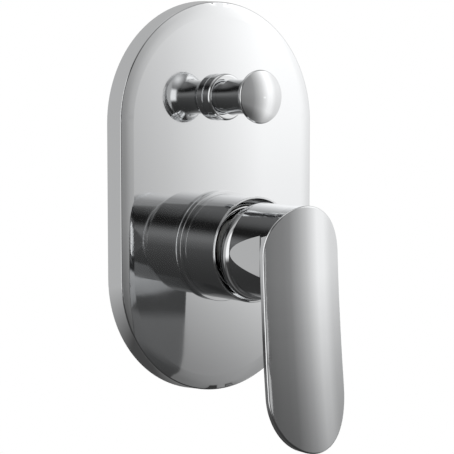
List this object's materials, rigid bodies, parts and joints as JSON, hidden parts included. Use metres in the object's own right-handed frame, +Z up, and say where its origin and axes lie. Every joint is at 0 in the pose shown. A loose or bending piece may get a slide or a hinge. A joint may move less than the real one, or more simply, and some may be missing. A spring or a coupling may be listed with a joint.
{
  "type": "concealed shower mixer",
  "caption": "Concealed bath and shower mixer: a round-ended chrome faceplate with a push-pull diverter knob above a lever handle, carried by a brass valve behind the wall.",
  "frame": {"origin": "where the mixer's axis meets the finished wall's face", "axes": "+X to the user's right, +Y into the wall, +Z up; the trim stands out towards -Y"},
  "size_m": [0.1186, 0.1403, 0.2098],
  "materials": {
    "chrome": "polished plate",
    "brass": "cast and turned",
    "steel": "turned",
    "rubber": "moulded",
    "gasket_foam": "closed-cell foam",
    "cartridge_shell": "moulded",
    "cartridge_inner": "moulded",
    "ceramic": "lapped"
  },
  "bodies": {
    "valve": {"faceplate": "chrome", "sleeve_trim_ring": "chrome", "cartridge_sleeve": "chrome", "cartridge_cap": "chrome", "diverter_flange": "chrome", "diverter_bonnet": "chrome", "faceplate_gasket": "gasket_foam", "valve_body": "brass", "sleeve_o_ring": "rubber", "cartridge_nut": "brass", "cartridge_housing": "cartridge_shell", "cartridge_base": "cartridge_shell", "cartridge_seals": "rubber", "fixed_disc": "ceramic", "diverter_o_rings": "rubber"},
    "turret": {"cartridge_carrier": "cartridge_inner", "pivot_pin": "steel"},
    "handle": {"lever_handle": "chrome", "lever_stem": "brass", "lever_grub_screw": "steel"},
    "disc": {"moving_disc": "ceramic", "disc_driver": "cartridge_inner"},
    "diverter": {"diverter_knob": "chrome", "diverter_spindle": "brass", "diverter_piston": "brass", "piston_seals": "rubber", "knob_grub_screw": "steel"}
  },
  "joints": [
    {"name": "handle_turn", "type": "hinge", "parent": "valve", "child": "turret", "pos_m": [0, -0.036, 0], "axis": [0, -1, 0], "range_deg": [-50, 50]},
    {"name": "handle_lift", "type": "hinge", "parent": "turret", "child": "handle", "pos_m": [0, -0.036, 0], "axis": [-1, 0, 0], "range_deg": [0, 15]},
    {"name": "disc_slide", "type": "slide", "parent": "turret", "child": "disc", "axis": [0, 0, -1], "range_m": [0, 0.0032]},
    {"name": "diverter_pull", "type": "slide", "parent": "valve", "child": "diverter", "axis": [0, -1, 0], "range_m": [0, 0.01]}
  ],
  "couplings": [
    {"joint": "disc_slide", "follows": "handle_lift", "m_per_rad": 0.012}
  ]
}
